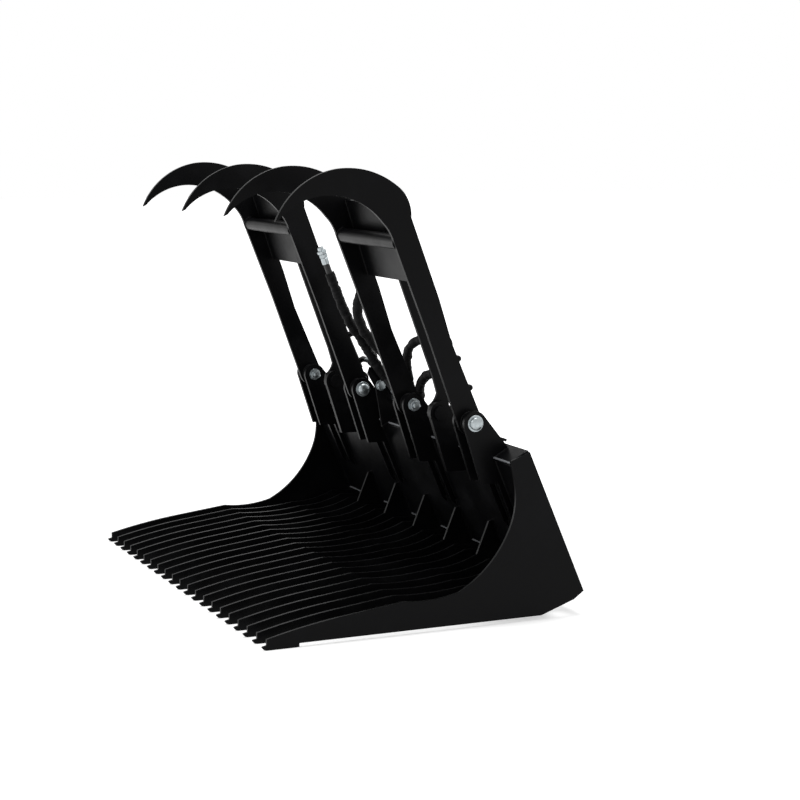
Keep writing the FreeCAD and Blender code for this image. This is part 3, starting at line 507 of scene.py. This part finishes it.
# %% Welds of the bucket
PROUD_BEAD_R = 0.0034
TINE_BEAD_R = 0.0032
TOP_SEAM_END = 14.0
REAR_FOOT = meet(LIP_TOP, along_top, Vector((REAR_TOP.x - TOP_SEAM_END, 0)), Vector((0, 1)))
BACK_LOW = level(BACK_FOOT)
proud = [[at(-INNER_X, LIP_TOP), at(INNER_X, LIP_TOP)],
         [at(-INNER_X, BACK_LOW), at(INNER_X, BACK_LOW)]]
# The proud seams wear the pale coat, a painted highlight along them.
weld("weld_proud_seams", "bucket", proud, PROUD_BEAD_R, seam_highlight_coat)
seams = [[at(-INNER_X, LIP), at(INNER_X, LIP)]]
for x in (-INNER_X, INNER_X):
    seams.append([at(x, LIP_TOP), at(x, REAR_FOOT)])
    seams.append([at(x, LIP), at(x, BACK_LOW)])
weld("weld_back_and_top_plate", "bucket", seams)

BAR = 12.7
RIB_EVERY = 3
RIB_LAST = 6
RIB_HEIGHT = 262.0
BAR_FRONT = REAR_LOW - behind * BAR
BAR_TOP = meet(BAR_FRONT, down, Vector((0, BACK_FOOT)), Vector((1, 0)))
seams = []
for number in range(1, TINES + 1):
    step = number - (TINES + 1) // 2
    is_rib = step % RIB_EVERY == 0 and abs(step) <= RIB_LAST
    for side in (-1, 1):
        x = step * PITCH + side * TINE_HALF
        if is_rib:
            seams.append([at(x, BACK_LOW), at(x, level(RIB_HEIGHT))])
        seams.append([at(x, BAR_TOP), at(x, BAR_FRONT)])
weld("weld_tines", "bucket", seams, TINE_BEAD_R)

EAR_SPREAD = 37.5
CLAW_HALF = 6.35
CLAW_X = {"left": (-696.0, -223.0), "right": (223.0, 696.0)}
LEVER_X = 459.5
LEVER_PLAY = 1.0
CENTRE_EAR_HALF = 9.5
EAR_TAIL = level(286.0)
CENTRE_EAR_FOOT = level(430.0)
seams = []
for pair in CLAW_X.values():
    for claw_x in pair:
        for ear_x in (claw_x - EAR_SPREAD, claw_x + EAR_SPREAD):
            for x in (ear_x - CLAW_HALF, ear_x + CLAW_HALF):
                seams.append([at(x, p) for p in (EAR_TAIL, LIP, LIP_TOP, REAR_FOOT)])
for lever_x in (-LEVER_X, LEVER_X):
    ear_x = lever_x + CLAW_HALF + LEVER_PLAY + CENTRE_EAR_HALF
    for x in (ear_x - CENTRE_EAR_HALF, ear_x + CENTRE_EAR_HALF):
        seams.append([at(x, p) for p in (CENTRE_EAR_FOOT, LIP, LIP_TOP, REAR_FOOT)])
weld("weld_hinge_ears", "bucket", seams)
print(len(seams), "ear seams")

# %% [markdown]
# Smaller seams: the cylinder lugs and the hose bracket on the top plate, and the two
# quick-attach plates where they cross the rear bars.

# %% Welds of lugs, bracket and attach plates
def on_top(reach):
    """Point of the top plate's upper face at a reach."""
    return meet(LIP_TOP, along_top, Vector((reach, 0)), Vector((0, 1)))


CYLINDER_ASIDE = 46.0
LUG_FACES = (26.0, 38.7)
LUG_FRONT = BASE.x - 22
LUG_REAR = REAR_TOP.x - 7
BRACKET_FACES = (-108.0, -100.0)
BRACKET_FRONT = 796.0
BRACKET_REAR = 884.0
seams = []
for cylinder_x in (-LEVER_X - CYLINDER_ASIDE, LEVER_X - CYLINDER_ASIDE):
    for side in (-1, 1):
        for face in LUG_FACES:
            x = cylinder_x + side * face
            seams.append([at(x, on_top(LUG_FRONT)), at(x, on_top(LUG_REAR))])
for x in BRACKET_FACES:
    seams.append([at(x, on_top(BRACKET_FRONT)), at(x, on_top(BRACKET_REAR))])
weld("weld_lugs_and_bracket", "bucket", seams)

ATTACH_EDGES = (-571.5, -271.5, 271.5, 571.5)
UPPER_SEAM = (REAR_TOP + down * 12, REAR_TOP + down * 118)
LOWER_SEAM = (REAR_LOW - down * 78, REAR_LOW - down * 74)
seams = [[at(x, p) for p in seam] for x in ATTACH_EDGES for seam in (UPPER_SEAM, LOWER_SEAM)]
weld("weld_attach_plates", "bucket", seams)
print(len(seams), "seams on the attach plates")

# %% [markdown]
# On each arm: rings where the cross tube enters the claws, fillets along the arm plate,
# both sides of the lever, and rings round the hinge hubs.

# %% Welds of the arms
TUBE_R = 24.15
HUB_R = 32.0
ARM_PLATE_THICK = 9.5
LEVER_FOOT = 98.0
plate_way = (PLATE_LOW - PLATE_TOP).normalized()
plate_front = Vector((plate_way.y, -plate_way.x)) * ARM_PLATE_THICK
for label, (low_x, high_x) in CLAW_X.items():
    seams = []
    for x in (low_x + CLAW_HALF, high_x - CLAW_HALF):
        seams.append(ring(x, TUBE, TUBE_R))
        seams.append([at(x, PLATE_TOP), at(x, PLATE_LOW)])
        seams.append([at(x, PLATE_TOP + plate_front), at(x, PLATE_LOW + plate_front)])
    for claw_x in (low_x, high_x):
        for x in (claw_x - CLAW_HALF, claw_x + CLAW_HALF):
            seams.append(ring(x, HINGE, HUB_R))
    middle = math.copysign(LEVER_X, low_x)
    for x in (middle - CLAW_HALF, middle + CLAW_HALF):
        seams.append([at(x, PLATE_LOW - plate_way * LEVER_FOOT), at(x, PLATE_LOW)])
    weld("weld_arm_" + label, "grapple_" + label, seams)
print("arm welds on both grapples")

# %% [markdown]
# Turned pieces: bolts, washers and couplers. A lathe cuts them from bar, so each is a profile
# of distance and radius spun round an axis; a hexagon is the same ring with its radius eased
# between six corners. Spinning the profile keeps every edge where the lathe would leave it.

# %% Lathe helper
SHARP = math.radians(35)
SIXTH = math.pi / 3


def lathe(name, start, way, profile, material, slot, body, sides=32, six=()):
    """Turned piece along a direction: profile of distance and radius, six-sided where named."""
    side = way.orthogonal().normalized()
    up = way.cross(side)
    verts = []
    for i, (far, radius) in enumerate(profile):
        for k in range(sides):
            turn = 2.0 * math.pi * k / sides
            size = radius
            if i in six:
                wedge = (turn % SIXTH) - SIXTH / 2
                size = radius * math.cos(SIXTH / 2) / math.cos(wedge)
            verts.append(start + way * far + (side * math.cos(turn) + up * math.sin(turn)) * size)
    faces = tube_faces(len(profile), sides)
    piece = mesh_piece(name, verts, faces, material, body, slot)
    piece.data.set_sharp_from_angle(angle=SHARP)
    return piece


print("profile, axis and six-sided rings")

# %% [markdown]
# Hinge bolts. Each claw turns on a 32 mm bolt through its two ears: a smooth domed head over a
# washer on one side, a washer and a hexagon nut on the other, with the thread's end standing
# out. The bracket's bolt is the same kind, half as thick.

# %% Hinge and bracket bolts
EAR_FACE = 0.04385
GRIP = 2 * EAR_FACE
BOLT = [(-0.0265, 0.0095), (-0.0255, 0.0112), (-0.0172, 0.0112), (-0.0171, 0.0165),
        (-0.0162, 0.0193), (-0.0037, 0.0193), (-0.0036, 0.0215), (0.0, 0.0215), (0.0001, 0.0155),
        (GRIP - 0.0001, 0.0155), (GRIP, 0.0262), (GRIP + 0.0008, 0.0268), (GRIP + 0.0036, 0.0268),
        (GRIP + 0.0042, 0.0262), (GRIP + 0.0043, 0.0212), (GRIP + 0.0115, 0.0212),
        (GRIP + 0.0150, 0.0192), (GRIP + 0.0175, 0.0150), (GRIP + 0.0190, 0.0085),
        (GRIP + 0.0194, 0.0010)]
BOLT_SIDES = 48
BRACKET_BOLT_AT = at(-99.9, Vector((790.0, 650.0)))
for name, claw_x, turn in (("left_outer", CLAW_X["left"][0], -1),
                           ("left_inner", CLAW_X["left"][1], 1),
                           ("right_inner", CLAW_X["right"][0], -1),
                           ("right_outer", CLAW_X["right"][1], 1)):
    start = at(claw_x, HINGE) - Vector((turn * EAR_FACE, 0, 0))
    bolt = lathe("hinge_bolt_" + name, start, Vector((turn, 0, 0)), BOLT, zinc, "zinc", "bucket",
                 sides=BOLT_SIDES, six=(4, 5))
    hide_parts("hinge_bolts")
BRACKET_BOLT = [(0.0, 0.0190), (0.0005, 0.0196), (0.0030, 0.0196), (0.0035, 0.0190),
                (0.0036, 0.0172), (0.0118, 0.0172), (0.0130, 0.0150), (0.0134, 0.0060)]
lathe("bracket_bolt_head", BRACKET_BOLT_AT, Vector((1, 0, 0)), BRACKET_BOLT, zinc, "zinc",
      "bucket", sides=BOLT_SIDES, six=(4, 5))
print("four hinge bolts and a bracket bolt")

# %% [markdown]
# Hydraulic hoses. A bracket on the top plate carries two tees. Each tee feeds one port of
# both cylinders, and two supply hoses rise from them to the quick couplers that the loader
# takes. The routes are the CAD model's, point by point. Each one becomes a NURBS curve, and
# the tube round it is built as a mesh. The hoses to the cylinders wear a woven nylon sleeve,
# about twice as thick as the hose.

# %% Hose routes
ROUTE_STEPS = 16


def route(*points):
    """Frame points in metres of a route in millimetres: X, reach, height."""
    return [at(x, Vector((reach, height))) for x, reach, height in points]


def nurbs(name, points, steps):
    """Curve of second degree with the points as control points."""
    curve = bpy.data.curves.new(name, "CURVE")
    curve.dimensions = "3D"
    spline = curve.splines.new("NURBS")
    spline.points.add(len(points) - 1)
    for place, point in zip(spline.points, points):
        place.co = (*point, 1.0)
    spline.order_u = 3
    spline.use_endpoint_u = True
    spline.resolution_u = steps
    return curve


def smooth_line(points):
    """Points along the NURBS curve that has the route's points as control points."""
    guide = bpy.data.objects.new("route", nurbs("route", points, ROUTE_STEPS))
    line = bpy.data.meshes.new_from_object(guide)
    out = [v.co.copy() for v in line.vertices]
    bpy.data.objects.remove(guide)
    bpy.data.meshes.remove(line)
    return out


TEE_FRONT = Vector((845.0, 612.0))
TEE_REAR = Vector((878.0, 590.0))
TO_CYLINDERS = {
    "right_high": route((-40, 845, 612), (61, 845, 612), (118, 803, 693), (136, 782, 794),
                        (187, 802, 844), (252, 838, 843), (305, 850, 796), (376.2, 850, 796)),
    "right_low": route((-40, 878, 590), (60, 878, 590), (121, 838, 677), (205, 845, 732),
                       (293, 894, 696), (376.2, 893.5, 696.1)),
    "left_high": route((-116, 845, 612), (-218, 845, 612), (-352, 850, 796), (-468.2, 850, 796)),
    "left_low": route((-116, 878, 590), (-250, 878, 590), (-360, 894, 696),
                      (-468.2, 893.5, 696.1)),
}


def long_of(line):
    """Length of a line in metres."""
    return sum((b - a).length for a, b in zip(line, line[1:]))


for name, points in TO_CYLINDERS.items():
    line = smooth_line(points)
    print(name, len(line), "points,", round(long_of(line), 3), "m")

# %% [markdown]
# Sleeve and ferrules. The sleeve is braided from flat nylon strands about 2.5 mm wide and is
# twice as wide as the hose, so it gathers into soft rings and folds. Smooth noise along the
# tube gives the rings, noise round it the folds, and the material's crossing waves the braid.
# It stops short of the ferrules, the zinc-plated crimps where the hose ends.

# %% Sleeve material and tubes
def braid(name, colour, strand_mm):
    material, tree = new_material(name)
    around = add(tree, "ShaderNodeUVMap", {"uv_map": "around"})
    waves = []
    for turn in (0.78, -0.78):
        spin = add(tree, "ShaderNodeMapping", Vector=around.outputs["UV"], Rotation=(0.0, 0.0, turn))
        waves.append(add(tree, "ShaderNodeTexWave", {"wave_type": "BANDS", "bands_direction": "X"},
                         Vector=spin.outputs["Vector"], Scale=1000.0 / strand_mm / 6.283,
                         Distortion=0.0))
    weave = add(tree, "ShaderNodeMath", {"operation": "MAXIMUM"})
    tree.links.new(waves[0].outputs["Fac"], weave.inputs[0])
    tree.links.new(waves[1].outputs["Fac"], weave.inputs[1])
    tone = add(tree, "ShaderNodeMix", {"data_type": "RGBA"}, Factor=weave.outputs[0],
               A=linear("020202"), B=linear(colour))
    skin = add(tree, "ShaderNodeBump", Strength=0.6, Distance=0.0006, Height=weave.outputs[0])
    surface = add(tree, "ShaderNodeBsdfPrincipled", Base_Color=tone.outputs["Result"],
                  Roughness=0.6, Normal=skin.outputs["Normal"], IOR=1.53,
                  Specular_IOR_Level=0.1, Sheen_Weight=0.02, Sheen_Roughness=0.4)
    add(tree, "ShaderNodeOutputMaterial", Surface=surface.outputs[0])
    return material


nylon = braid("braided black nylon sleeve", "09090A", 2.5)
FOLD_SCALE = 48.0
RING_SCALE = 95.0
FOLD_SHARE = 0.45
TUBE_STEP = 0.003


def tube_along(line, radius, sides=20, wrinkle=0.0, seed=0.0):
    """Vertices, faces and UV in metres of a tube round a smooth line, closed at both ends."""
    verts, flat = [], []
    way = (line[1] - line[0]).normalized()
    side = way.orthogonal().normalized()
    run = 0.0
    for i, point in enumerate(line):
        ahead = (line[min(i + 1, len(line) - 1)] - line[max(i - 1, 0)]).normalized()
        side = (side - ahead * side.dot(ahead)).normalized()
        up = ahead.cross(side)
        run += (point - line[i - 1]).length if i else 0.0
        for k in range(sides):
            turn = 2.0 * math.pi * k / sides
            out = side * math.cos(turn) + up * math.sin(turn)
            folds = noise.noise((point + out * radius) * FOLD_SCALE + Vector((seed, 0, 0)))
            rings = noise.noise(Vector((run * RING_SCALE, out.x * 0.5 + seed, out.z * 0.5)))
            uneven = FOLD_SHARE * folds + (1.0 - FOLD_SHARE) * rings
            verts.append(point + out * radius * (1.0 + wrinkle * uneven))
            flat.append((radius * turn, run))
    return verts, tube_faces(len(line), sides), flat


def tube_piece(name, line, radius, material, slot, body=None, wrinkle=0.0, seed=0.0):
    """Tube as an object with its own surface coordinates."""
    verts, faces, flat = tube_along(line, radius, wrinkle=wrinkle, seed=seed)
    piece = mesh_piece(name, verts, faces, material, body, slot)
    layer = piece.data.uv_layers.new(name="around")
    for loop in piece.data.loops:
        layer.data[loop.index].uv = flat[loop.vertex_index]
    return piece


def stretch_of(line, start, end):
    """The part of a line between two distances from its start, in metres, in even steps."""
    marks = [0.0]
    for a, b in zip(line, line[1:]):
        marks.append(marks[-1] + (b - a).length)
    end = marks[-1] + end if end <= 0 else end
    out = []
    count = max(2, int((end - start) / TUBE_STEP))
    for i in range(count + 1):
        want = start + (end - start) * i / count
        k = max(j for j, mark in enumerate(marks[:-1]) if mark <= want + 1e-9)
        share = (want - marks[k]) / (marks[k + 1] - marks[k])
        out.append(line[k].lerp(line[k + 1], min(share, 1.0)))
    return out


print(nylon.name)

# %% [markdown]
# The four hoses to the cylinders. Each is laid once as a bare hose and once as its sleeve, with
# a ferrule at either end. The ferrule at the cylinder end rides on the barrel.

# %% Hoses to the cylinders
HOSE_R = 0.008
SLEEVE_R = 0.0162
SLEEVE_WRINKLE = 0.34
SLEEVE_GAP = 0.006
FERRULE_R = 0.011
FERRULE = 0.034
FERRULE_SET = 0.0005
NEXT_SEED = 3.1
seed = 0.0
for name, points in TO_CYLINDERS.items():
    line = smooth_line(points)
    body = "barrel_right" if name.startswith("right") else "barrel_left"
    free = stretch_of(line, FERRULE, -FERRULE)
    for part, start, end, radius, material, slot, wrinkle in (
        ("hose", 0.0, 0.0, HOSE_R, hose_rubber, "rubber", 0.0),
        ("sleeve", FERRULE + SLEEVE_GAP, -(FERRULE + SLEEVE_GAP), SLEEVE_R, nylon, "rubber",
         SLEEVE_WRINKLE),
    ):
        seed += NEXT_SEED
        piece = tube_piece(part + "_" + name, stretch_of(line, start, end), radius, material,
                           slot, wrinkle=wrinkle, seed=seed)
        tuple(free[0])
        tuple(free[-1])
        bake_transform(piece)
        if part == "hose":
            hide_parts("cylinder_hoses")
    tube_piece("ferrule_in_" + name, stretch_of(line, FERRULE_SET, FERRULE), FERRULE_R, zinc,
               "zinc", "bucket")
    tube_piece("ferrule_out_" + name, stretch_of(line, long_of(line) - FERRULE, -FERRULE_SET),
               FERRULE_R, zinc, "zinc", body)

# %% [markdown]
# The supply hoses. Two free hoses of 22 mm that end in quick couplers. They are stiff, with
# two layers of steel braid, and stand up in the curve they were coiled in, as hoses of this
# size do over half a metre. They wear the same sleeve, which leaves both ends free.

# %% Supply hoses and couplers
SUPPLY = {
    "left": (TEE_FRONT, ((-86, 770, 722), (-90, 719, 807), (-90, 667, 880), (-93, 633, 955),
                         (-96, 608, 1020), (-95, 581, 1089))),
    "right": (TEE_REAR, ((-52, 828, 715), (-50, 760, 790), (-44, 700, 850), (-35, 668, 925),
                         (-22, 682, 1000), (-12, 706, 1070))),
}
SUPPLY_R = 0.011
SUPPLY_STEPS = 14
SUPPLY_SLEEVE_R = 0.0172
SUPPLY_WRINKLE = 0.3
BARE_AT_TEE = 0.05
BARE_AT_COUPLER = 0.035
STEM = 0.028
COUPLER = [(0.0, 0.0125), (0.001, 0.0133), (0.022, 0.0133), (0.0235, 0.012), (0.0245, 0.012),
           (0.026, 0.0158), (0.037, 0.0158), (0.038, 0.0125), (0.040, 0.0125), (0.0405, 0.0165),
           (0.0495, 0.0165), (0.0505, 0.0145), (0.052, 0.0108), (0.0625, 0.0104), (0.063, 0.0096)]
for label, (tee, far_points) in SUPPLY.items():
    centre = at(far_points[0][0], tee)
    points = route(*far_points)
    outlet = centre + (points[0] - centre).normalized() * STEM
    points = [outlet] + points
    way = (points[-1] - points[-2]).normalized()
    coupler = lathe("coupler_" + label, points[-1], way, COUPLER, zinc, "zinc", "bucket",
                    six=(5, 6))
    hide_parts("hose_couplers")
    curve = nurbs("supply_hose_" + label, points, SUPPLY_STEPS)
    curve.bevel_depth = SUPPLY_R
    curve.bevel_resolution = 8
    curve.use_fill_caps = True
    curve.materials.append(hose_rubber)
    hose = bpy.data.objects.new("supply_hose_" + label, curve)
    bpy.context.scene.collection.objects.link(hose)
    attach(hose, "bucket")
    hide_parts("feed_hose_" + label)
    line = smooth_line(points)
    long = long_of(line)
    seed += NEXT_SEED
    sleeve = tube_piece("sleeve_supply_" + label, stretch_of(line, BARE_AT_TEE, -BARE_AT_COUPLER),
                        SUPPLY_SLEEVE_R, nylon, "rubber", "bucket", wrinkle=SUPPLY_WRINKLE,
                        seed=seed)
    print("supply hose", label, round(long, 3), "m")
